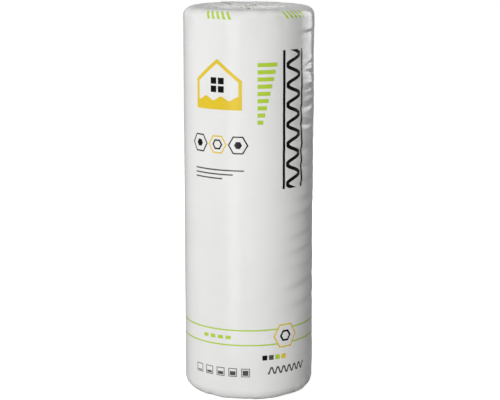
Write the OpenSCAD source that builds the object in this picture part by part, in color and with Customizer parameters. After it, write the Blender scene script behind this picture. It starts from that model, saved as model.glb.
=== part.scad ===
// Insulation roll: wool felt wound on itself and wrapped in a film with gathered ends.
// Millimetres, +Z up. The roll stands on its end and the origin is the middle of its base.

/* [Roll] */
// Outside diameter of the wrapped roll
roll_d = 400; // [300:5:600]
// Height of the wrapped roll, which is the width of the felt
roll_h = 1200; // [500:10:1250]
// Rounding of the upper edge
top_edge_r = 30; // [15:1:45]
// Rounding of the lower edge, pressed rounder by the weight
base_edge_r = 36; // [15:1:45]
// Width of the flat ring inside a rounded edge
rim_w = 14; // [8:1:25]
// Depth of the hollow in the middle of each end
end_dish = 14; // [8:1:25]

/* [Wool felt] */
// Thickness of the felt, pressed as it is in the roll
felt_t = 35; // [25:1:60]
// Diameter of the open eye that the winding leaves
eye_d = 30; // [16:1:50]
// Width of the slit between two turns on an end
turn_gap = 3; // [1:0.5:6]
// Depth of that slit
turn_depth = 8; // [3:1:20]

/* [Film] */
// Thickness of the film, with its overlapping layers
film_t = 0.3; // [0.2:0.1:1]
// Diameter of the opening in the gathered film
film_eye_d = 80; // [60:1:120]
// Number of pleats round an end
pleats = 30; // [16:1:40]
// Flat film between two pleats, at the opening
pleat_gap = 2; // [1:0.5:4]
// Height of a pleat at the opening
pleat_h = 5; // [2:0.5:8]
// Sideways lean of a pleat's ridge
pleat_lean = 1.5; // [0:0.5:3]

/* [Hidden] */
$fn = 96;

roll_r = roll_d / 2;
film_eye_r = film_eye_d / 2;
top_dish_r = roll_r - top_edge_r - rim_w;
base_dish_r = roll_r - base_edge_r - rim_w;

// A pleat stands on a root that is sunk below the film's face.
pleat_w = PI * film_eye_d / pleats - pleat_gap;
pleat_root = 2;

// The slit is a spiral from the eye to the flat ring of the smaller end.
slit_step = 15;
slit_start_r = eye_d / 2;
slit_end_r = min(top_dish_r, base_dish_r) + rim_w - turn_gap;
slit_sweep = 360 * (slit_end_r - slit_start_r) / felt_t;
slit_count = ceil(slit_sweep / slit_step);

function spiral_point(i, side) =
    let (angle = slit_sweep * i / slit_count)
    let (r = slit_start_r + felt_t * angle / 360 + side * turn_gap / 2)
    [r * cos(angle), r * sin(angle)];

// Half of the roll's section, inset from the wrapped outside by the same distance all round.
module half_section(inset) {
    r = roll_r - inset;
    base_r = base_edge_r - inset;
    top_r = top_edge_r - inset;
    low = inset;
    high = roll_h - inset;
    difference() {
        union() {
            translate([0, base_edge_r]) square([r, roll_h - base_edge_r - top_edge_r]);
            translate([0, low]) square([roll_r - base_edge_r, roll_h / 2]);
            translate([0, roll_h / 2]) square([roll_r - top_edge_r, high - roll_h / 2]);
            translate([roll_r - base_edge_r, base_edge_r]) circle(r = base_r);
            translate([roll_r - top_edge_r, roll_h - top_edge_r]) circle(r = top_r);
        }
        polygon([[0, low], [base_dish_r, low], [0, low + end_dish]]);
        polygon([[0, high], [top_dish_r, high], [0, high - end_dish]]);
    }
}

module envelope(inset) {
    rotate_extrude() half_section(inset);
}

// The gap between the turns, open only near the two ends of the roll.
module winding_slit() {
    outer = [for (i = [0 : slit_count]) spiral_point(i, 1)];
    inner = [for (i = [slit_count : -1 : 0]) spiral_point(i, -1)];
    difference() {
        linear_extrude(roll_h) polygon(concat(outer, inner));
        envelope(film_t + turn_depth);
    }
}

module wool_roll() {
    color("khaki")
        difference() {
            envelope(film_t);
            cylinder(h = roll_h, d = eye_d);
            winding_slit();
        }
}

// One pleat: a ridge that stands up at the film's opening and runs out under the film near the flat ring.
module pleat(dish_r) {
    inner_r = film_eye_r - pleat_root;
    surface_z = -end_dish * (1 - inner_r / dish_r);
    polyhedron(
        points = [
            [inner_r, -pleat_w / 2, surface_z - pleat_root],
            [inner_r, pleat_w / 2, surface_z - pleat_root],
            [inner_r, pleat_lean, surface_z + pleat_h],
            [dish_r, 0, -pleat_root]
        ],
        faces = [[0, 1, 2], [0, 3, 1], [1, 3, 2], [2, 3, 0]]
    );
}

// The pleats of one end, for a hollow of radius dish_r that opens upwards at z = 0.
module end_pleats(dish_r) {
    for (i = [0 : pleats - 1])
        rotate([0, 0, 360 * i / pleats]) pleat(dish_r);
}

module film_wrap() {
    color("whitesmoke")
        difference() {
            union() {
                envelope(0);
                translate([0, 0, roll_h]) end_pleats(top_dish_r);
                mirror([0, 0, 1]) end_pleats(base_dish_r);
            }
            envelope(film_t);
            cylinder(h = roll_h, d = film_eye_d);
        }
}

wool_roll();
film_wrap();
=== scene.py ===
"""Insulation roll: felt of glass wool wound on itself, in a printed film with gathered ends.

Blender runs this file as a script. It is laid out as an add-on: the property groups hold the sizes and
colours, each operator makes one piece or the stage, and main() calls the operators in order.
Lengths are in metres. Angles round the roll start at the front and grow towards the right.
"""

import math
from collections import namedtuple

import bpy
import numpy as np
from bpy.props import FloatProperty, FloatVectorProperty, IntProperty, PointerProperty
from bpy.types import Operator, Panel, PropertyGroup
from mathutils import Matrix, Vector


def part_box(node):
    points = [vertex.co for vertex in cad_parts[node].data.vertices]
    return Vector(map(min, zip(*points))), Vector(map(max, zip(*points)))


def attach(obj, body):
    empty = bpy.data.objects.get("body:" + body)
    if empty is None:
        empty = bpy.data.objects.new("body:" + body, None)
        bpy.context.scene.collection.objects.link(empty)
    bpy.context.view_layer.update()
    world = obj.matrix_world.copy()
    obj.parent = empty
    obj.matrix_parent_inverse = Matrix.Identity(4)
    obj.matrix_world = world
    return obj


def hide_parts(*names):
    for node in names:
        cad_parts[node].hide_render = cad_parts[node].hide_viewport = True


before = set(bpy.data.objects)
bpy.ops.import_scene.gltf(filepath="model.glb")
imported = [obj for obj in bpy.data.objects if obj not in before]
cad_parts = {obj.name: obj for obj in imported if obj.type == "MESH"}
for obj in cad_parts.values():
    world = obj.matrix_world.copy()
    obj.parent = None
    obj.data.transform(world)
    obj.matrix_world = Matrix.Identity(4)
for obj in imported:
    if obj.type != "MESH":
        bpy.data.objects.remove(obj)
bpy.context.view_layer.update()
FILM_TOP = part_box("film_wrap")[1]

bl_info = {
    "name": "Insulation Roll",
    "version": (1, 0, 0),
    "blender": (4, 5, 0),
    "location": "View3D > Sidebar > Roll",
    "description": "Makes a wound insulation roll in a printed film, and a studio to show it in",
    "category": "Add Mesh",
}

BAKE_MAP = "OFBake"
BODY = "root"
TURN = 2 * math.pi
WHITE = (1.0, 1.0, 1.0)


# Properties

class RollSizes(PropertyGroup):
    """The wrapped roll's own form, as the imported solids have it."""

    radius: FloatProperty(
        name="Radius", description="Outside radius of the wrapped roll",
        default=FILM_TOP.x, unit="LENGTH")
    height: FloatProperty(
        name="Height", description="Height of the wrapped roll",
        default=FILM_TOP.z, unit="LENGTH")
    top_edge: FloatProperty(
        name="Upper edge", description="Rounding of the upper edge",
        default=0.030, unit="LENGTH")
    base_edge: FloatProperty(
        name="Lower edge", description="Rounding of the lower edge",
        default=0.036, unit="LENGTH")
    rim: FloatProperty(
        name="Rim", description="Width of the flat ring inside a rounded edge",
        default=0.014, unit="LENGTH")
    dish: FloatProperty(
        name="Hollow", description="Depth of the hollow in the middle of each end",
        default=0.014, unit="LENGTH")


class FilmLook(PropertyGroup):
    """The film: its cut, its folds and its finish."""

    opening: FloatProperty(
        name="Opening", description="Radius of the opening in a gathered end",
        default=0.040, unit="LENGTH")
    lap: FloatProperty(
        name="Lap", description="Width of the overlap at the seam",
        default=0.060, unit="LENGTH")
    lap_lift: FloatProperty(
        name="Lap lift", description="How far the overlap stands off the film under it",
        default=0.0012, unit="LENGTH")
    seam: FloatProperty(
        name="Seam", description="Where the film begins, round the roll from the front",
        default=math.radians(-168), subtype="ANGLE")
    pleats: IntProperty(
        name="Pleats", description="Number of folds gathered into one end", default=42)
    pleat_height: FloatProperty(
        name="Pleat height", description="Height of a tall pleat at the opening",
        default=0.0085, unit="LENGTH")
    pleat_width: FloatProperty(
        name="Pleat width", description="Width of a pleat", default=0.0048, unit="LENGTH")
    pucker: FloatProperty(
        name="Pucker", description="Height of the puckers on the rounded edges",
        default=0.0011, unit="LENGTH")
    sag: FloatProperty(
        name="Sag", description="How far the back of the upper end sinks",
        default=0.0036, unit="LENGTH")
    slack: FloatProperty(
        name="Slack", description="Depth of the loose bands on the slack side of the wall",
        default=0.0013, unit="LENGTH")
    white: FloatVectorProperty(
        name="White", description="Colour of the bare film",
        default=(0.86, 0.86, 0.845), subtype="COLOR")
    gloss: FloatProperty(
        name="Roughness", description="Roughness of the bare film", default=0.21, subtype="FACTOR")


class PrintInks(PropertyGroup):
    """The inks of the film's print and the places of its bands."""

    lime: FloatVectorProperty(
        name="Lime", description="Ink of the bands and bars",
        default=(0.46, 0.66, 0.045), subtype="COLOR")
    yellow: FloatVectorProperty(
        name="Yellow", description="Ink of the house and the badge",
        default=(0.80, 0.58, 0.03), subtype="COLOR")
    black: FloatVectorProperty(
        name="Black", description="Ink of the batt column", default=(0.004, 0.004, 0.004), subtype="COLOR")
    grey: FloatVectorProperty(
        name="Grey", description="Ink of the fine marks", default=(0.085, 0.085, 0.082), subtype="COLOR")
    upper_band: FloatProperty(
        name="Upper band", description="Height of the upper band", default=0.227, unit="LENGTH")
    lower_band: FloatProperty(
        name="Lower band", description="Height of the lower band", default=0.180, unit="LENGTH")
    band_width: FloatProperty(
        name="Band width", description="Width of a band", default=0.0045, unit="LENGTH")
    repeats: IntProperty(
        name="Repeats", description="How often the print repeats round the roll", default=2)


class WoolLook(PropertyGroup):
    """The felt and its fibres."""

    felt: FloatProperty(
        name="Felt", description="Thickness of the felt, pressed as it is in the roll",
        default=0.035, unit="LENGTH")
    eye: FloatProperty(
        name="Eye", description="Radius of the open eye that the winding leaves",
        default=0.015, unit="LENGTH")
    gap: FloatProperty(
        name="Gap", description="Gap between two turns", default=0.0025, unit="LENGTH")
    fibres: IntProperty(
        name="Fibres", description="Number of loose fibres at one opening", default=1500)
    # The wool is pale on its raised fibres and deeper between them; the deeper colour is partly the wool's
    # own tone and partly painted shade in the hollows between fibres.
    pale: FloatVectorProperty(
        name="Pale wool", description="Colour of the wool's raised fibres",
        default=(0.88, 0.77, 0.46), subtype="COLOR")
    deep_tone_and_shade: FloatVectorProperty(
        name="Deep wool", description="Colour of the wool between its fibres",
        default=(0.60, 0.47, 0.22), subtype="COLOR")


class StudioLook(PropertyGroup):
    """Camera and light."""

    distance: FloatProperty(
        name="Distance", description="From the roll's axis to the camera", default=5.22, unit="LENGTH")
    aside: FloatProperty(
        name="Aside", description="How far the camera stands to the right", default=0.0039, unit="LENGTH")
    height: FloatProperty(
        name="Camera height", description="Height of the camera", default=1.666, unit="LENGTH")
    pitch: FloatProperty(
        name="Pitch", description="How far the camera looks down",
        default=math.radians(11.61), subtype="ANGLE")
    lens: FloatProperty(
        name="Lens", description="Focal length of the camera", default=123.0, unit="CAMERA")
    key: FloatProperty(
        name="Key", description="Power of the far light at the front left", default=740.0, unit="POWER")
    front: FloatProperty(
        name="Front", description="Power of the low light close in front", default=4.4, unit="POWER")
    side: FloatProperty(
        name="Side", description="Power of the light on the left", default=46.0, unit="POWER")
    back: FloatProperty(
        name="Back", description="Power of the light behind on the right", default=110.0, unit="POWER")
    overhead: FloatProperty(
        name="Overhead", description="Power of the small light above the roll", default=1.5, unit="POWER")
    sheen: FloatProperty(
        name="Sheen", description="Power of the strip that shows only in the gloss",
        default=1.0, unit="POWER")
    glint: FloatProperty(
        name="Glint", description="Power of the panel that shows only in the gloss",
        default=20.0, unit="POWER")
    ambient: FloatProperty(
        name="Ambient", description="Strength of the light from all round", default=0.01)


# Shaping

def smooth_step(low, high, x):
    """0 below low, 1 above high and a smooth rise between them; low may be the larger."""
    t = np.clip((x - low) / (high - low), 0, 1)
    return t * t * (3 - 2 * t)


def turned(angle):
    """The angle between -180 and 180 degrees, in radians."""
    return (angle + math.pi) % TURN - math.pi


Noise = namedtuple("Noise", "height cells step seed")


def soft_noise(around, along, noise, seed=0):
    """Smooth noise up to its height both ways, with its cells in a turn and one cell each step along."""
    knots_down = int(np.ptp(along) / noise.step) + 3
    knots = np.random.default_rng(seed + noise.seed).uniform(-1, 1, (knots_down, noise.cells))
    x = around % TURN / TURN * noise.cells
    y = (along - along.min()) / noise.step
    left = np.floor(x).astype(int)
    low = np.floor(y).astype(int)
    across = smooth_step(0, 1, x - left)
    up = smooth_step(0, 1, y - low)
    right = (left + 1) % noise.cells
    left = left % noise.cells
    lower = knots[low, left] * (1 - across) + knots[low, right] * across
    upper = knots[low + 1, left] * (1 - across) + knots[low + 1, right] * across
    return noise.height * (lower * (1 - up) + upper * up)


def grid_faces(rows, columns):
    """Quads over a grid of points, first down and then to the right."""
    first = (np.arange(rows - 1)[:, None] * columns + np.arange(columns - 1)[None, :]).ravel()
    return np.stack([first, first + columns, first + columns + 1, first + 1], axis=1)


def new_piece(name, points, faces, material):
    """A smooth mesh piece that rides on the roll's body."""
    mesh = bpy.data.meshes.new(name)
    mesh.from_pydata(points.reshape(-1, 3).tolist(), [], faces.tolist())
    mesh.validate()
    mesh.shade_smooth()
    mesh.materials.append(material)
    piece = bpy.data.objects.new(name, mesh)
    bpy.context.scene.collection.objects.link(piece)
    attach(piece, BODY)
    return piece


# The roll's ends

HOLLOW_POWER = 1.2


def end_depth(radius, sizes, edge):
    """How far the end lies below its highest ring at each radius."""
    dish_radius = sizes.radius - edge - sizes.rim
    shoulder = np.clip(radius - (sizes.radius - edge), 0, edge)
    hollow = np.clip(1 - radius / dish_radius, 0, 1)
    return edge - np.sqrt(edge**2 - shoulder**2) + sizes.dish * hollow**HOLLOW_POWER


# Film

FILM_COLUMNS = 320
WALL_ROWS = 186
SHOULDER_ROWS = 16
RIM_ROWS = 5
DISH_ROWS = {"top": 44, "base": 24}
LIP_ROWS = 6
LIP_RADIUS = 0.0016
LIP_SWEEP = math.radians(200)

# The film is tight round one bearing and loose away from it, most of all high on the wall.
TIGHT_BEARING = math.radians(-35)
LOOSE_BEYOND = (math.radians(52), math.radians(100))
TIGHT_SHARE = 0.08
LOOSE_HEIGHTS = (0.70, 0.95)
LOW_SHARE = 0.6
SWELL = Noise(0.0009, 6, 0.33, 11)
BROAD_BANDS = Noise(1.0, 8, 0.040, 12)
FINE_BANDS = Noise(0.5, 14, 0.019, 13)

# Each loose band is a trough with a lower crest beside it, which lies that many half widths higher.
CREST_SHARE = 0.6
CREST_PLACE = 1.7

# What each pleat is drawn from: shares of its spacing, height and width, and its bend in radians a metre.
PLEAT_WANDER = (-0.34, 0.34)
PLEAT_START = (0.085, 0.150)
PLEAT_HEIGHTS = (0.35, 1.0)
PLEAT_WIDTHS = (0.7, 1.3)
PLEAT_LEAN = (-1.0, 1.0)
PLEAT_BEND = (-3.5, 3.5)
PLEAT_RISE = 0.075

# The crumple of a gathered end; the seeds of its noise count from the seed of that end.
END_SEEDS = {"top": 31, "base": 41}
CRUMPLE_RUN = (0.045, 0.085)
CRUMPLE_HEIGHT = 0.0020
CRUMPLE_MIDDLE = 0.6
FACETS = Noise(2.0, 40, 0.020, 1)
FINE_CRUMPLE = Noise(0.6, 90, 0.008, 2)

# The rounded edges: runs along the film, counted from where the wall ends.
WALL_FADE = (0.030, -0.020)
PUCKER_RUN = 0.030
PUCKER_SPREAD = 0.042
BROAD_PUCKERS = Noise(1.0, 46, 0.070, 21)
FINE_PUCKERS = Noise(0.6, 90, 0.045, 22)
SAG_RUN = (0.0, 0.045)
LAP_RAMP = 0.05
OPENING_REACH = 0.05
OPENING_WOBBLE = Noise(0.0035, 13, 1.0, 51)

# Loose bands on the slack side: height, angle, half length, half width, depth and slope.
SLACK_CREASES = (
    (1.126, 66, 0.080, 0.0080, 0.0017, 0.02),
    (1.078, 74, 0.050, 0.0070, 0.0006, -0.06),
    (1.028, 62, 0.060, 0.0055, 0.0015, 0.22),
    (1.008, 64, 0.060, 0.0050, 0.0014, -0.16),
    (0.960, 70, 0.070, 0.0080, 0.0014, 0.05),
    (0.903, 62, 0.080, 0.0090, 0.0024, 0.10),
    (0.850, 64, 0.070, 0.0090, 0.0022, -0.05),
    (0.774, 60, 0.080, 0.0110, 0.0026, 0.08),
    (0.722, 64, 0.075, 0.0100, 0.0024, -0.06),
    (0.669, 60, 0.080, 0.0110, 0.0026, 0.08),
    (0.619, 64, 0.075, 0.0100, 0.0024, 0.02),
    (0.570, 58, 0.085, 0.0120, 0.0034, 0.08),
    (0.508, 60, 0.080, 0.0110, 0.0031, 0.12),
    (0.458, 58, 0.085, 0.0110, 0.0034, 0.10),
    (0.405, 62, 0.075, 0.0100, 0.0029, -0.03),
    (0.350, 58, 0.090, 0.0130, 0.0038, 0.12),
    (0.288, 60, 0.085, 0.0120, 0.0034, 0.06),
    (0.120, 62, 0.080, 0.0090, 0.0014, -0.06),
)


def end_curve(sizes, edge, opening, dish_rows):
    """Radius and depth of the film, from the wall over the rounded edge to the lip of its opening."""
    arc = np.linspace(0, math.pi / 2, SHOULDER_ROWS, endpoint=False)
    rim_radius = sizes.radius - edge
    radius = np.concatenate([
        rim_radius + edge * np.cos(arc),
        np.linspace(rim_radius, rim_radius - sizes.rim, RIM_ROWS, endpoint=False),
        np.linspace(rim_radius - sizes.rim, opening, dish_rows),
    ])
    depth = end_depth(radius, sizes, edge)
    curl = np.linspace(0, LIP_SWEEP, LIP_ROWS + 1)[1:]
    radius = np.append(radius, opening - LIP_RADIUS * np.sin(curl))
    depth = np.append(depth, depth[-1] + LIP_RADIUS * (1 - np.cos(curl)))
    return radius, depth


class FilmRows:
    """The film's section from the upper opening over the wall to the lower one."""

    def __init__(self, sizes, film):
        self.wall_top = sizes.height - sizes.top_edge
        self.wall_low = sizes.base_edge
        top = self.end(sizes, film, sizes.top_edge, DISH_ROWS["top"])
        base = self.end(sizes, film, sizes.base_edge, DISH_ROWS["base"])
        wall = np.linspace(self.wall_top, self.wall_low, WALL_ROWS + 2)[1:-1]
        flat = np.zeros(WALL_ROWS)
        self.radius = np.concatenate([top["radius"][::-1], flat + sizes.radius, base["radius"]])
        self.z = np.concatenate([sizes.height - top["depth"][::-1], wall, base["depth"]])
        self.out = np.concatenate([top["out"][::-1], flat + 1, base["out"]])
        self.rise = np.concatenate([top["rise"][::-1], flat, -base["rise"]])
        self.along = np.concatenate([
            self.wall_top + top["run"][::-1], wall, self.wall_low - base["run"]])

    @staticmethod
    def end(sizes, film, edge, dish_rows):
        radius, depth = end_curve(sizes, edge, film.opening, dish_rows)
        steps = np.hypot(np.diff(radius), np.diff(depth))
        run = np.append(0, np.cumsum(steps))
        slope_out = np.gradient(radius, run)
        slope_in = np.gradient(depth, run)
        size = np.hypot(slope_out, slope_in)
        return {
            "radius": radius, "depth": depth, "run": run,
            "out": -slope_in / size, "rise": -slope_out / size,
        }


def slack_share(angle):
    """How loose the film lies: tight at the front and left, loose on the right and behind."""
    from_tight = np.abs(turned(angle - TIGHT_BEARING))
    return TIGHT_SHARE + (1 - TIGHT_SHARE) * smooth_step(*LOOSE_BEYOND, from_tight)


def wall_lift(angle, along, sizes, film):
    """How far the film stands off the true cylinder: broad swells, loose bands and single creases."""
    height_share = LOW_SHARE + (1 - LOW_SHARE) * smooth_step(*LOOSE_HEIGHTS, along)
    bands = soft_noise(angle, along, BROAD_BANDS) + soft_noise(angle, along, FINE_BANDS)
    lift = soft_noise(angle, along, SWELL) + film.slack * slack_share(angle) * height_share * bands
    for height, place, half_length, half_width, depth, slope in SLACK_CREASES:
        aside = turned(angle - math.radians(place)) * sizes.radius
        off = (along - height - slope * aside) / half_width
        reach = np.exp(-(aside / half_length) ** 2)
        crest = CREST_SHARE * np.exp(-(off - CREST_PLACE) ** 2)
        lift = lift + depth * reach * (crest - np.exp(-off**2))
    return lift


def end_folds(angle, radius, run, film, seed):
    """Lift and sideways slide of one gathered end: pleats that rise towards the opening, and crumples."""
    draw = np.random.default_rng(seed)
    lift = np.zeros(np.broadcast(angle, radius).shape)
    slide = np.zeros_like(lift)
    for i in range(film.pleats):
        place = (i + draw.uniform(*PLEAT_WANDER)) * TURN / film.pleats
        start = draw.uniform(*PLEAT_START)
        height = film.pleat_height * draw.uniform(*PLEAT_HEIGHTS)
        width = film.pleat_width * draw.uniform(*PLEAT_WIDTHS)
        lean = draw.uniform(*PLEAT_LEAN) * height
        bend = draw.uniform(*PLEAT_BEND)
        grown = smooth_step(start, start - PLEAT_RISE, radius)
        off = turned(angle - place - bend * (start - radius)) * radius / width
        ridge = grown / (1 + off**2) ** 2
        lift = np.maximum(lift, height * ridge)
        slide = slide + lean * ridge
    gathered = smooth_step(*CRUMPLE_RUN, run)
    facets = 1 - np.abs(soft_noise(angle, run, FACETS, seed))
    crumple = facets + soft_noise(angle, run, FINE_CRUMPLE, seed)
    lift = lift + CRUMPLE_HEIGHT * gathered * (crumple - CRUMPLE_MIDDLE)
    return lift, slide


def film_points(sizes, film, rows, angle):
    """Every point of the folded film, row by row from the upper opening to the lower one."""
    along = np.repeat(rows.along[:, None], angle.size, axis=1)
    angles = np.repeat(angle[None, :], rows.along.size, axis=0)
    radius = rows.radius[:, None] + np.zeros_like(angles)
    top_run = along - rows.wall_top
    base_run = rows.wall_low - along
    past_wall = np.maximum(top_run, base_run)
    run = np.maximum(past_wall, 0)

    on_wall = smooth_step(*WALL_FADE, past_wall)
    near_edge = np.exp(-((past_wall - PUCKER_RUN) / PUCKER_SPREAD) ** 2)
    pucker = soft_noise(angles, along, BROAD_PUCKERS) + soft_noise(angles, along, FINE_PUCKERS)
    lift = on_wall * wall_lift(angles, along, sizes, film) + film.pucker * near_edge * pucker

    slide = np.zeros_like(lift)
    for at_end, seed in ((top_run > 0, END_SEEDS["top"]), (base_run > 0, END_SEEDS["base"])):
        end_lift, end_slide = end_folds(angles, radius, run, film, seed)
        lift = lift + np.where(at_end, end_lift, 0)
        slide = slide + np.where(at_end, end_slide, 0)

    lap_start = angle[0] + TURN
    lift = lift + film.lap_lift * smooth_step(lap_start - LAP_RAMP, lap_start, angles)
    near_opening = smooth_step(film.opening + OPENING_REACH, film.opening, radius)
    radius = radius + near_opening * soft_noise(angles, np.zeros_like(along), OPENING_WOBBLE)

    radius = radius + lift * rows.out[:, None]
    sunk = film.sag * smooth_step(*SAG_RUN, top_run) * (1 - np.cos(angles)) / 2
    z = np.maximum(rows.z[:, None] + lift * rows.rise[:, None] - sunk, 0)
    turn = angles + slide / radius
    return np.stack([radius * np.sin(turn), -radius * np.cos(turn), z], axis=-1)


class ROLL_OT_film(Operator):
    """Make the film: one printed sheet lapped round the wool and gathered over both ends"""

    bl_idname = "insulation_roll.film"
    bl_label = "Film Wrap"

    def execute(self, context):
        sizes = context.scene.roll_sizes
        film = context.scene.roll_film
        rows = FilmRows(sizes, film)
        sweep = TURN + film.lap / sizes.radius
        angle = film.seam + np.linspace(0, sweep, FILM_COLUMNS + 1)
        points = film_points(sizes, film, rows, angle)
        low = rows.along.min()
        span = np.ptp(rows.along)
        material = film_material(context.scene, sweep, low, span)
        piece = new_piece("printed_film", points, grid_faces(*points.shape[:2]), material)
        across = np.repeat(np.linspace(0, 1, angle.size)[None, :], rows.along.size, axis=0)
        up = np.repeat((rows.along[:, None] - low) / span, angle.size, axis=1)
        place_on_film(piece.data, np.stack([across, up], axis=-1).reshape(-1, 2))
        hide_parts("film_wrap")
        return {"FINISHED"}


def place_on_film(mesh, places):
    """Write each point's place on the flat film, from 0 to 1 both ways, as the mesh's map."""
    layer = mesh.uv_layers.new(name=BAKE_MAP)
    corners = np.empty(len(mesh.loops), int)
    mesh.loops.foreach_get("vertex_index", corners)
    layer.uv.foreach_set("vector", places[corners].astype(np.float32).ravel())


# Wool

STRIP_STEPS = 72
STRIP_EDGE_POINTS = 13
STRIP_WALL_POINTS = 10
WOOL_UNDER_FILM = 0.0045
WOOL_BELOW_END = 0.0075
EDGE_DROP = 0.0035
STRIP_SHORT = 0.08
RING_STEP = 0.01
RUFFLE_OUT = Noise(0.0007, 260, 0.011, 61)
RUFFLE_UP = Noise(0.0012, 320, 0.009, 62)

FIBRE_RADIUS = 0.00016
FIBRE_SIDES = 3
FIBRE_RINGS = 6
FIBRE_SEED = 71
FIBRE_BEND = (-1.2, 1.2)
FIBRE_LENGTH = (0.006, 0.016)
FIBRE_ARCH = (0.0002, 0.0022)
FIBRE_MARGIN = 0.001
FIBRE_INSET = 0.002
FIBRE_LIFT = 0.0002
FIBRE_TIPS = (0.06, 0.94)


def felt_section(inner, outer, sizes):
    """One section of the wound felt: radius and height round its four sides from the inner top corner."""
    across = np.linspace(0, 1, STRIP_EDGE_POINTS)
    radius = inner + (outer - inner) * across
    drop = WOOL_BELOW_END + EDGE_DROP * (2 * across - 1) ** 4
    top = sizes.height - end_depth(radius, sizes, sizes.top_edge) - drop
    base = end_depth(radius, sizes, sizes.base_edge) + drop
    down = np.linspace(0, 1, STRIP_WALL_POINTS + 2)[1:-1]
    outer_wall = top[-1] + (base[-1] - top[-1]) * down
    inner_wall = base[0] + (top[0] - base[0]) * down
    side = np.ones(STRIP_WALL_POINTS)
    return (
        np.concatenate([radius, side * outer, radius[::-1], side * inner]),
        np.concatenate([top, outer_wall, base[::-1], inner_wall]),
    )


def felt_points(sizes, wool):
    """The felt's sections along its spiral, from the eye to the film."""
    limit = sizes.radius - WOOL_UNDER_FILM
    turns = (limit - wool.eye) / wool.felt - STRIP_SHORT
    angle = np.linspace(0, turns * TURN, int(turns * STRIP_STEPS))
    sections = []
    for a in angle:
        inner = wool.eye + wool.felt * a / TURN
        outer = min(inner + wool.felt - wool.gap, limit)
        sections.append(felt_section(inner, outer, sizes))
    radius = np.array([section[0] for section in sections])
    z = np.array([section[1] for section in sections])
    columns = radius.shape[1]
    spread = np.repeat(angle[:, None] / turns, columns, axis=1)
    ring = np.repeat(np.arange(columns)[None, :] * RING_STEP, angle.size, axis=0)
    radius = np.minimum(radius + soft_noise(spread, ring, RUFFLE_OUT), limit)
    z = z + soft_noise(spread, ring, RUFFLE_UP)
    turn = np.repeat(angle[:, None], columns, axis=1)
    return np.stack([radius * np.sin(turn), -radius * np.cos(turn), z], axis=-1)


def strip_faces(rows, columns):
    """Quads round a closed section swept along rows, with a cap on each end."""
    first = np.arange(rows - 1)[:, None] * columns
    second = first + columns
    here = np.arange(columns)[None, :]
    after = (here + 1) % columns
    quads = np.stack([first + here, first + after, second + after, second + here], axis=-1)
    last = (rows - 1) * columns
    caps = [list(range(columns))[::-1], list(range(last, last + columns))]
    return quads.reshape(-1, 4).tolist() + caps


class ROLL_OT_wool(Operator):
    """Make the wool: one long felt wound into a spiral"""

    bl_idname = "insulation_roll.wool"
    bl_label = "Wound Felt"

    def execute(self, context):
        sizes = context.scene.roll_sizes
        wool = context.scene.roll_wool
        points = felt_points(sizes, wool)
        faces = np.array(strip_faces(*points.shape[:2]), dtype=object)
        piece = new_piece("wound_felt", points, faces, wool_material(wool))
        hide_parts("wool_roll")
        return {"FINISHED"}


def fibre_points(sizes, wool, film, upward, draw):
    """Centre line of one loose fibre that lies on an end of the wool inside the film's opening."""
    edge = sizes.top_edge if upward else sizes.base_edge
    nearest = wool.eye + FIBRE_MARGIN
    farthest = film.opening - FIBRE_MARGIN
    radius = math.sqrt(draw.uniform(nearest**2, farthest**2))
    place = draw.uniform(0, TURN)
    heading = draw.uniform(0, TURN)
    bend = draw.uniform(*FIBRE_BEND)
    length = draw.uniform(*FIBRE_LENGTH)
    arch = draw.uniform(*FIBRE_ARCH)
    t = np.linspace(0, 1, FIBRE_RINGS)
    way = heading + bend * t
    x = radius * math.sin(place) + np.cumsum(np.cos(way)) * length / FIBRE_RINGS
    y = -radius * math.cos(place) + np.cumsum(np.sin(way)) * length / FIBRE_RINGS
    far = np.hypot(x, y)
    keep = np.minimum(1, (film.opening - FIBRE_INSET) / far)
    wool_depth = end_depth(far * keep, sizes, edge) + WOOL_BELOW_END
    depth = wool_depth - arch * np.sin(math.pi * t) - FIBRE_LIFT
    z = sizes.height - depth if upward else depth
    return np.stack([x * keep, y * keep, z], axis=-1)


def tube_points(line):
    """Rings of points round a thin fibre, which closes to a tip at both ends."""
    ahead = np.gradient(line, axis=0)
    ahead /= np.linalg.norm(ahead, axis=1)[:, None]
    side = np.cross(ahead, (0.0, 0.0, 1.0))
    side /= np.linalg.norm(side, axis=1)[:, None] + 1e-12
    over = np.cross(side, ahead)
    turn = (np.arange(FIBRE_SIDES) * TURN / FIBRE_SIDES)[None, :, None]
    ring = np.cos(turn) * side[:, None, :] + np.sin(turn) * over[:, None, :]
    thick = FIBRE_RADIUS * np.sqrt(np.sin(math.pi * np.linspace(*FIBRE_TIPS, len(line))))
    return line[:, None, :] + thick[:, None, None] * ring


class ROLL_OT_fibres(Operator):
    """Make the loose fibres that lie on the wool inside the film's openings"""

    bl_idname = "insulation_roll.fibres"
    bl_label = "Loose Fibres"

    def execute(self, context):
        sizes = context.scene.roll_sizes
        wool = context.scene.roll_wool
        film = context.scene.roll_film
        draw = np.random.default_rng(FIBRE_SEED)
        points = []
        faces = []
        one = strip_faces(FIBRE_RINGS, FIBRE_SIDES)
        for upward in (True, False):
            for _ in range(wool.fibres):
                first = len(points) * FIBRE_RINGS * FIBRE_SIDES
                points.append(tube_points(fibre_points(sizes, wool, film, upward, draw)))
                faces.extend([[first + corner for corner in face] for face in one])
        material = bpy.data.objects["wound_felt"].data.materials[0]
        new_piece("loose_fibres", np.array(points), np.array(faces, dtype=object), material)
        return {"FINISHED"}


# Materials

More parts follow.
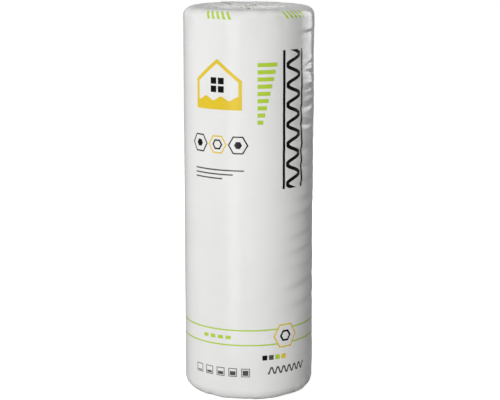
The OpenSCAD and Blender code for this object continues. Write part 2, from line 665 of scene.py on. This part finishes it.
class Term:
    """A number in a material: Python's operators on it add Math nodes."""

    def __init__(self, nodes, socket):
        self.nodes = nodes
        self.socket = socket

    def maths(self, operation, *terms):
        node = self.nodes.add("ShaderNodeMath", {"operation": operation}, dict(enumerate(terms)))
        return Term(self.nodes, node.outputs[0])

    def __add__(self, other):
        return self.maths("ADD", self, other)

    def __radd__(self, other):
        return self.maths("ADD", other, self)

    def __sub__(self, other):
        return self.maths("SUBTRACT", self, other)

    def __rsub__(self, other):
        return self.maths("SUBTRACT", other, self)

    def __mul__(self, other):
        return self.maths("MULTIPLY", self, other)

    def __rmul__(self, other):
        return self.maths("MULTIPLY", other, self)

    def __truediv__(self, other):
        return self.maths("DIVIDE", self, other)

    def __mod__(self, other):
        return self.maths("FLOORED_MODULO", self, other)

    def __abs__(self):
        return self.maths("ABSOLUTE", self)

    def least(self, other):
        return self.maths("MINIMUM", self, other)

    def most(self, other):
        return self.maths("MAXIMUM", self, other)

    def sine(self):
        return self.maths("SINE", self)

    def root(self):
        return self.maths("SQRT", self)

    def whole(self):
        return self.maths("FLOOR", self)

    def share(self):
        """The number kept between 0 and 1."""
        return self.least(1.0).most(0.0)


class Nodes:
    """A node tree, to which one method adds every node."""

    def __init__(self, tree):
        self.tree = tree

    def add(self, kind, settings, sockets):
        node = self.tree.nodes.new(kind)
        for name, value in settings.items():
            setattr(node, name, value)
        self.feed(node, sockets)
        return node

    def feed(self, node, sockets):
        for name, value in sockets.items():
            if isinstance(value, Term):
                value = value.socket
            if isinstance(value, bpy.types.NodeSocket):
                self.tree.links.new(value, node.inputs[name])
            else:
                node.inputs[name].default_value = value

    def number(self, kind, settings, sockets, output=0):
        return Term(self, self.add(kind, settings, sockets).outputs[output])

    def noise(self, place, scale, detail, distortion=0.0):
        """Noise about 0.5 with that many cells in a metre."""
        sockets = {"Vector": place, "Scale": scale, "Detail": detail, "Distortion": distortion}
        return self.number("ShaderNodeTexNoise", {}, sockets)

    def stretched(self, place, factors):
        """A place whose three parts are multiplied by three factors."""
        node = self.add("ShaderNodeVectorMath", {"operation": "MULTIPLY"}, {0: place, 1: factors})
        return node.outputs[0]

    def mixed(self, share, first, second):
        """A colour socket that goes from the first colour to the second."""
        node = self.add("ShaderNodeMix", {"data_type": "RGBA"}, {0: share, 6: first, 7: second})
        return node.outputs[2]


def new_material(name):
    """A material, its nodes and its surface shader."""
    material = bpy.data.materials.new(name)
    material.use_nodes = True
    nodes = Nodes(material.node_tree)
    return material, nodes, material.node_tree.nodes["Principled BSDF"]


def opaque(colour):
    return (*colour, 1.0)


# Print. Each function gives how deep a point lies inside a shape, in metres, and is negative outside it.

INK_SOFT = 0.0010

# Places of the prints: across the film from the front, and height.
HOUSE_AT = (-0.098, 0.905)
BATT_AT = (0.148, 0.872)
BARS_AT = (0.026, 0.858)
CELLS_AT = (-0.098, 0.800)
LINES_AT = (-0.182, 0.690)
BADGE_AT = (0.120, 0.2035)
DASHES_AT = (-0.155, 0.2035)
TEST_AT = (0.050, 0.139)
TRAIL_AT = (0.130, 0.097)
SQUARES_AT = (-0.190, 0.093)


def from_place(x, z, place):
    return x - place[0], z - place[1]


def box_depth(x, z, half_x, half_z):
    return (half_x - abs(x)).least(half_z - abs(z))


def hexagon_depth(x, z, radius):
    return radius - (abs(x) * math.sin(math.pi / 3) + abs(z) * 0.5).most(abs(z))


def house_depth(x, z, half, eaves, ridge):
    """A house front on the line z = 0, with eaves and ridge at those heights."""
    pitch = (ridge - eaves) / half
    lean = math.hypot(1, pitch)
    roof = (ridge - pitch * abs(x) - z) / lean
    return roof.least(half - abs(x)).least(z)


def outline_depth(depth, stroke):
    return depth.least(stroke - depth)


def wave_depth(x, z, height, length, half_width):
    """A wavy line of even width that runs along z, as drawings show a batt of insulation."""
    turn = z * (TURN / length)
    slope = (turn + math.pi / 2).sine() * (height * TURN / length)
    return half_width - abs(x - height * turn.sine()) / (1 + slope * slope).root()


def stepped(x, pitch):
    """Which step of an even row a point lies in, and how far it is from the middle of that step."""
    step = (x / pitch).whole()
    return step, x - (step + 0.5) * pitch


def rows_depth(x, z, count, pitch, shortest, growth, half):
    """Bars one above another, each longer than the one below it."""
    step, local = stepped(z, pitch)
    bar = x.least(shortest + growth * step - x).least(half - abs(local))
    return bar.least(z).least(count * pitch - z)


def ink_share(depth):
    return (depth / INK_SOFT + 0.5).share()


def house_print(x, z):
    """Yellow house with a wavy layer of insulation on its floor, and its black window."""
    x, z = from_place(x, z, HOUSE_AT)
    layer_height = 0.034
    layer_wave = 0.006
    wave_length = 0.052
    window_height = 0.074
    pane_off = 0.0125
    house = house_depth(x, z, half=0.078, eaves=0.088, ridge=0.152)
    layer = house.least(layer_height + layer_wave * (x * (TURN / wave_length)).sine() - z)
    pane_x = abs(x) - pane_off
    pane_z = abs(z - window_height) - pane_off
    window = box_depth(pane_x, pane_z, half_x=0.0098, half_z=0.0098)
    return outline_depth(house, stroke=0.0105).most(layer), window


def batt_print(x, z):
    """Black column with the wavy sign for a batt between its two faces."""
    x, z = from_place(x, z, BATT_AT)
    half_height = 0.210
    face_off = 0.0365
    face_half = 0.0044
    wave = wave_depth(x, z, height=0.0225, length=0.060, half_width=0.0058)
    faces = face_half - abs(abs(x) - face_off)
    return wave.most(faces).least(half_height - abs(z))


def bars_print(x, z):
    """Lime bars that grow longer step by step."""
    x, z = from_place(x, z, BARS_AT)
    return rows_depth(x, z, count=9, pitch=0.0215, shortest=0.018, growth=0.0055, half=0.0062)


def cells_print(x, z):
    """A row of three hexagons: black at the sides and yellow in the middle."""
    x, z = from_place(x, z, CELLS_AT)
    apart = 0.066
    radius = 0.027
    stroke = 0.0042
    side = abs(x) - apart
    dots = hexagon_depth(side, z, radius=0.0105)
    core = outline_depth(hexagon_depth(x, z, radius=0.0150), stroke=0.0046)
    black = outline_depth(hexagon_depth(side, z, radius), stroke).most(dots).most(core)
    yellow = outline_depth(hexagon_depth(x, z, radius), stroke)
    return black, yellow


def lines_print(x, z):
    """Three fine grey rules of falling length."""
    x, z = from_place(x, z, LINES_AT)
    return rows_depth(x, z, count=3, pitch=0.013, shortest=0.100, growth=0.034, half=0.0021)


def badge_print(x, z):
    """Small yellow hexagon over the bands, with a black one inside, and the field that it covers."""
    x, z = from_place(x, z, BADGE_AT)
    field = hexagon_depth(x, z, radius=0.037)
    core = outline_depth(hexagon_depth(x, z, radius=0.0175), stroke=0.0062)
    return field, outline_depth(field, stroke=0.0048), core


def squares_print(x, z):
    """A row of grey squares that fill up one after another."""
    x, z = from_place(x, z, SQUARES_AT)
    count = 5
    pitch = 0.040
    half_fill = 0.0090
    fill_growth = 0.0033
    step, local = stepped(x, pitch)
    square = box_depth(local, z, half_x=0.0135, half_z=0.0135)
    level = fill_growth * (step + 1) - half_fill
    filled = box_depth(local, z, half_fill, half_fill).least(level - z)
    inside = x.least(count * pitch - x)
    return outline_depth(square, stroke=0.0024).most(filled).least(inside)


def trail_print(x, z):
    """A short wavy grey line that runs across the film."""
    x, z = from_place(x, z, TRAIL_AT)
    half_length = 0.070
    wave = wave_depth(z, x, height=0.0085, length=0.021, half_width=0.0028)
    return wave.least(half_length - abs(x))


def dashes_print(x, z):
    """Four lime dashes between the bands."""
    x, z = from_place(x, z, DASHES_AT)
    count = 4
    pitch = 0.026
    local = x % pitch - pitch / 2
    dash = box_depth(local, z, half_x=0.0085, half_z=0.0055)
    return dash.least(x).least(count * pitch - x)


def test_print(x, z):
    """A row of small squares, one in each ink, as printers set them to check their colours."""
    x, z = from_place(x, z, TEST_AT)
    pitch = 0.021
    row = {}
    for i, ink in enumerate(("black", "grey", "lime", "yellow")):
        row[ink] = box_depth(x - i * pitch, z, half_x=0.0078, half_z=0.0078)
    return row


def slashes_print(across, up, girth, edge_run):
    """Groups of slanted lime strokes on the upper rounded edge."""
    groups = 5
    group_shift = 0.643
    group_start = 0.02
    count = 5
    pitch = 0.0175
    lean = 0.5
    half_width = 0.0042
    half_length = 0.0135
    group = girth / groups
    x = (across + group_shift * group) % group - group_start
    z = up - edge_run
    slant = x + lean * z
    local = slant % pitch - pitch / 2
    stroke = (half_width - abs(local)).least(half_length - abs(z))
    return stroke.least(slant).least(count * pitch - slant)


def film_print(inks, across, up, girth, edge_run):
    """The depth of each ink at a point of the film."""
    period = girth / inks.repeats
    x = (across + period / 2) % period - period / 2
    house, window = house_print(x, up)
    cells_black, cells_yellow = cells_print(x, up)
    field, badge, core = badge_print(x, up)
    middle = (inks.upper_band + inks.lower_band) / 2
    apart = (inks.upper_band - inks.lower_band) / 2
    bands = (inks.band_width / 2 - abs(abs(up - middle) - apart)).least(-1.0 * field)
    lime = bands.most(bars_print(x, up)).most(dashes_print(x, up))
    inked = {
        "lime": lime.most(slashes_print(across, up, girth, edge_run)),
        "yellow": house.most(cells_yellow).most(badge),
        "black": window.most(batt_print(x, up)).most(cells_black).most(core),
        "grey": lines_print(x, up).most(squares_print(x, up)).most(trail_print(x, up)),
    }
    row = test_print(x, up)
    return {ink: depth.most(row[ink]) for ink, depth in inked.items()}


SLASHES_PAST_WALL = 0.018
MOTTLE_SHADE = 0.95
MOTTLE_CONTRAST = 1.6
MOTTLE_START = 0.3
INK_COVER = 0.985
INK_GRAIN = 0.03
WELD_PLACE = 0.014
WELD_HALF = 0.005
WELD_PITCH = 0.004
WELD_SHADE = 0.10
# Width and strength of a painted shade line along the lap's outer cut edge, where the lap stands off the
# film under it.
CUT_WIDTH = 0.0014
LAP_EDGE_PAINTED_SHADE = 0.35
STRETCH_WAY = (1.0, 1.0, 5.0)
STRETCH_RELIEF = 0.8
DIMPLE_RELIEF = 0.2
WELD_RELIEF = 0.25
ROUGH_MOTTLE = 0.04
ROUGH_INK = 0.02


def film_material(scene, sweep, low, span):
    """Printed white film with a soft gloss and fine stretch lines."""
    film = scene.roll_film
    inks = scene.roll_inks
    sizes = scene.roll_sizes
    material, nodes, surface = new_material("printed_film")
    place = nodes.add("ShaderNodeUVMap", {"uv_map": BAKE_MAP}, {})
    parts = nodes.add("ShaderNodeSeparateXYZ", {}, {0: place.outputs[0]})
    width_share = Term(nodes, parts.outputs[0])
    across = (width_share * sweep + film.seam) * sizes.radius
    up = Term(nodes, parts.outputs[1]) * float(span) + float(low)
    solid = nodes.add("ShaderNodeTexCoord", {}, {}).outputs["Object"]

    mottle = nodes.noise(solid, scale=9.0, detail=3.0)
    grain = nodes.noise(solid, scale=420.0, detail=2.0)
    shade = tuple(MOTTLE_SHADE * channel for channel in film.white)
    bright = (mottle * MOTTLE_CONTRAST - MOTTLE_START).share()
    colour = nodes.mixed(bright, opaque(shade), opaque(film.white))

    edge_run = sizes.height - sizes.top_edge + SLASHES_PAST_WALL
    girth = TURN * sizes.radius
    cover = (INK_COVER + INK_GRAIN * grain).share()
    inked = None
    for name, depth in film_print(inks, across, up, girth, edge_run).items():
        share = ink_share(depth) * cover
        colour = nodes.mixed(share, colour, opaque(getattr(inks, name)))
        inked = share if inked is None else inked.most(share)

    from_edge = (1.0 - width_share) * (sweep * sizes.radius)
    weld = ink_share(WELD_HALF - abs(from_edge - WELD_PLACE))
    ridges = weld * (up * (TURN / WELD_PITCH)).sine()
    # The cut mask is a thin grey line of painted shade along the outer edge of the lap; the weld band is
    # greyed as the weld's own colour.
    cut = ink_share(CUT_WIDTH - from_edge)
    colour = nodes.mixed(WELD_SHADE * weld + LAP_EDGE_PAINTED_SHADE * cut, colour, opaque(inks.grey))

    lines = nodes.noise(nodes.stretched(solid, STRETCH_WAY), scale=26.0, detail=4.0)
    dimples = nodes.noise(solid, scale=150.0, detail=2.0)
    relief = lines * STRETCH_RELIEF + dimples * DIMPLE_RELIEF + ridges * WELD_RELIEF
    bump = nodes.add("ShaderNodeBump", {}, {"Strength": 0.35, "Distance": 0.0012, "Height": relief})

    nodes.feed(surface, {
        "Base Color": colour,
        "Roughness": film.gloss + ROUGH_MOTTLE * (mottle - 0.5) + ROUGH_INK * inked,
        "Normal": bump.outputs[0],
        "IOR": 1.5,
    })
    return material


STRAND_WAYS = ((1.0, 0.16, 1.0), (0.16, 1.0, 1.0), (0.6, 0.6, 0.2))
STRAND_CONTRAST = 4.0
CLUMP_CONTRAST = 1.2
STRAND_RELIEF = 0.7
CLUMP_RELIEF = 0.6


def wool_material(wool):
    """Matt glass wool: pale crossing fibres over a deeper yellow, which is partly the wool's own tone and
    partly painted shade between the fibres.
    """
    material, nodes, surface = new_material("glass_wool")
    solid = nodes.add("ShaderNodeTexCoord", {}, {}).outputs["Object"]
    strands = None
    for way in STRAND_WAYS:
        wisps = nodes.noise(nodes.stretched(solid, way), scale=620.0, detail=4.0, distortion=0.6)
        strands = wisps if strands is None else strands.most(wisps)
    clumps = nodes.noise(solid, scale=70.0, detail=3.0)
    # Colour follows the same noise as the relief, so the low parts between fibres take the deeper yellow,
    # partly as painted shade.
    light = ((strands - 0.5) * STRAND_CONTRAST + (clumps - 0.5) * CLUMP_CONTRAST).share()
    colour = nodes.mixed(light, opaque(wool.deep_tone_and_shade), opaque(wool.pale))
    relief = strands * STRAND_RELIEF + clumps * CLUMP_RELIEF
    bump = nodes.add("ShaderNodeBump", {}, {"Strength": 0.9, "Distance": 0.0015, "Height": relief})
    nodes.feed(surface, {"Base Color": colour, "Roughness": 0.95, "Normal": bump.outputs[0]})
    return material


# Stage

FLOOR_HALF = 30.0
FLOOR_DROP = 0.0004
FLOOR_PALE = (0.72, 0.72, 0.72)
GLOW_NEAR = 0.80
GLOW_FAR = 1.0
GLOW_REACH = (0.35, 1.6)
SHOWN_RAYS = ("Is Camera Ray", "Is Glossy Ray", "Is Transmission Ray")

# Lights stand on a bearing in degrees from the front and face the roll; each serves one kind of ray.
Lamp = namedtuple("Lamp", "name bearing distance height width length rays")
LIGHT_AIM = 0.96
LAMPS = (
    Lamp("key", -18, 9.0, 5.4, 3.4, 4.2, "diffuse"),
    Lamp("front", 10, 1.6, 0.30, 0.8, 1.5, "diffuse"),
    Lamp("side", -110, 3.2, 1.2, 1.2, 2.0, "diffuse"),
    Lamp("back", 157, 4.4, 1.5, 1.2, 2.0, "diffuse"),
    Lamp("overhead", 0, 0.0, 2.1, 0.4, 0.4, "diffuse"),
    Lamp("sheen", -23, 0.70, 0.60, 0.22, 1.2, "glossy"),
    Lamp("glint", 121, 1.8, 1.50, 1.15, 1.6, "glossy"),
)

# Cards stand round the roll and show only in its gloss. Each is a section of radius and height, swept
# between two bearings in degrees from the back, and has an even grey.
Card = namedtuple("Card", "name section start end grey")
CARD_STEPS = 36
CARD_LOW = ((0.175, 0.0), (2.6, 0.0), (2.6, 1.25))
CARD_HIGH = ((2.6, 1.25), (2.6, 4.5))
CARD_FRONT = ((0.175, 0.0), (6.0, 0.0), (6.0, 5.0))
CARDS = (
    Card("card_left", CARD_LOW, -82, 0, 0.10),
    Card("card_right", CARD_LOW, 0, 82, 0.26),
    Card("card_back", CARD_HIGH, -82, 82, 0.45),
    Card("card_front", CARD_FRONT, 82, 278, 0.06),
)
CARD_HIDDEN_FROM = ("camera", "diffuse", "transmission", "volume_scatter", "shadow")


def shown_share(nodes):
    """1 for the rays that should see the white background, and 0 for those that only carry light."""
    path = nodes.add("ShaderNodeLightPath", {}, {})
    rays = [Term(nodes, path.outputs[name]) for name in SHOWN_RAYS]
    return rays[0].most(rays[1]).most(rays[2])


def floor_material():
    """Pale floor that keeps the roll's shadow and is white where it is lit."""
    material, nodes, surface = new_material("pale_floor")
    nodes.feed(surface, {"Base Color": opaque(FLOOR_PALE), "Roughness": 0.9, "Specular IOR Level": 0.0})
    place = nodes.add("ShaderNodeTexCoord", {}, {}).outputs["Object"]
    away = nodes.number("ShaderNodeVectorMath", {"operation": "LENGTH"}, {0: place}, "Value")
    near, far = GLOW_REACH
    out = ((away - near) / (far - near)).share()
    colour = nodes.mixed(out, opaque((GLOW_NEAR,) * 3), opaque((GLOW_FAR,) * 3))
    glow = nodes.add("ShaderNodeEmission", {}, {"Color": colour, "Strength": 1.0})
    both = nodes.add("ShaderNodeAddShader", {}, {0: surface.outputs[0], 1: glow.outputs[0]})
    mix = nodes.add(
        "ShaderNodeMixShader", {}, {0: shown_share(nodes), 1: surface.outputs[0], 2: both.outputs[0]})
    nodes.feed(material.node_tree.nodes["Material Output"], {"Surface": mix.outputs[0]})
    return material


def stage_piece(name, points, faces, material):
    """A plain mesh of the studio, which isn't part of the roll."""
    mesh = bpy.data.meshes.new(name)
    mesh.from_pydata(points, [], faces)
    mesh.materials.append(material)
    piece = bpy.data.objects.new(name, mesh)
    bpy.context.scene.collection.objects.link(piece)
    return piece


def make_floor():
    half = FLOOR_HALF
    corners = [(-half, -half), (half, -half), (half, half), (-half, half)]
    points = [(x, y, -FLOOR_DROP) for x, y in corners]
    stage_piece("floor", points, [(0, 1, 2, 3)], floor_material())


def make_card(card):
    """One card, which glows evenly and is hidden from every ray but those of the gloss."""
    material, nodes, _ = new_material(card.name)
    glow = nodes.add("ShaderNodeEmission", {}, {"Color": opaque((card.grey,) * 3), "Strength": 1.0})
    nodes.feed(material.node_tree.nodes["Material Output"], {"Surface": glow.outputs[0]})
    angle = np.radians(np.linspace(card.start, card.end, CARD_STEPS))
    points = [(radius * math.sin(a), radius * math.cos(a), z) for radius, z in card.section for a in angle]
    faces = grid_faces(len(card.section), CARD_STEPS).tolist()
    piece = stage_piece(card.name, points, faces, material)
    for ray in CARD_HIDDEN_FROM:
        setattr(piece, "visible_" + ray, False)


def make_world(scene, ambient):
    """Even light from all round, in front of which the camera sees plain white."""
    world = bpy.data.worlds.new("studio")
    world.use_nodes = True
    scene.world = world
    nodes = Nodes(world.node_tree)
    light = world.node_tree.nodes["Background"]
    nodes.feed(light, {"Color": opaque(WHITE), "Strength": ambient})
    white = nodes.add("ShaderNodeBackground", {}, {"Color": opaque(WHITE), "Strength": 1.0})
    mix = nodes.add(
        "ShaderNodeMixShader", {}, {0: shown_share(nodes), 1: light.outputs[0], 2: white.outputs[0]})
    nodes.feed(world.node_tree.nodes["World Output"], {"Surface": mix.outputs[0]})


def make_light(lamp, power):
    """One soft rectangular light."""
    data = bpy.data.lights.new(lamp.name, "AREA")
    data.shape = "RECTANGLE"
    data.size = lamp.width
    data.size_y = lamp.length
    data.energy = power
    light = bpy.data.objects.new(lamp.name, data)
    turn = math.radians(lamp.bearing)
    light.location = (lamp.distance * math.sin(turn), -lamp.distance * math.cos(turn), lamp.height)
    target = Vector((0.0, 0.0, min(lamp.height, LIGHT_AIM) if lamp.distance else 0.0))
    light.rotation_euler = (target - light.location).to_track_quat("-Z", "Y").to_euler()
    light.visible_camera = False
    light.visible_diffuse = lamp.rays == "diffuse"
    light.visible_glossy = lamp.rays == "glossy"
    bpy.context.scene.collection.objects.link(light)


def make_camera(scene, studio):
    data = bpy.data.cameras.new("camera")
    data.lens = studio.lens
    camera = bpy.data.objects.new("camera", data)
    camera.location = (studio.aside, -studio.distance, studio.height)
    camera.rotation_euler = (math.pi / 2 - studio.pitch, 0.0, 0.0)
    scene.collection.objects.link(camera)
    scene.camera = camera


class ROLL_OT_stage(Operator):
    """Make the floor, the lights, the cards and the camera"""

    bl_idname = "insulation_roll.stage"
    bl_label = "Studio"

    def execute(self, context):
        scene = context.scene
        studio = scene.roll_studio
        make_floor()
        make_world(scene, studio.ambient)
        for lamp in LAMPS:
            make_light(lamp, getattr(studio, lamp.name))
        for card in CARDS:
            make_card(card)
        make_camera(scene, studio)
        scene.view_settings.view_transform = "Standard"
        return {"FINISHED"}


# Add-on

class ROLL_PT_panel(Panel):
    """Buttons and sizes of the insulation roll"""

    bl_label = "Insulation Roll"
    bl_idname = "ROLL_PT_panel"
    bl_space_type = "VIEW_3D"
    bl_region_type = "UI"
    bl_category = "Roll"

    def draw(self, context):
        for operator in OPERATORS:
            self.layout.operator(operator.bl_idname)
        for name, group in GROUPS.items():
            box = self.layout.box()
            for field in group.__annotations__:
                box.prop(getattr(context.scene, name), field)


GROUPS = {
    "roll_sizes": RollSizes,
    "roll_film": FilmLook,
    "roll_inks": PrintInks,
    "roll_wool": WoolLook,
    "roll_studio": StudioLook,
}
OPERATORS = (ROLL_OT_stage, ROLL_OT_wool, ROLL_OT_fibres, ROLL_OT_film)
CLASSES = (*GROUPS.values(), *OPERATORS, ROLL_PT_panel)


def register():
    for item in CLASSES:
        bpy.utils.register_class(item)
    for name, group in GROUPS.items():
        setattr(bpy.types.Scene, name, PointerProperty(type=group))


def unregister():
    for name in GROUPS:
        delattr(bpy.types.Scene, name)
    for item in reversed(CLASSES):
        bpy.utils.unregister_class(item)


def main():
    register()
    bpy.ops.insulation_roll.stage()
    bpy.ops.insulation_roll.wool()
    bpy.ops.insulation_roll.fibres()
    bpy.ops.insulation_roll.film()


if __name__ == "__main__":
    main()
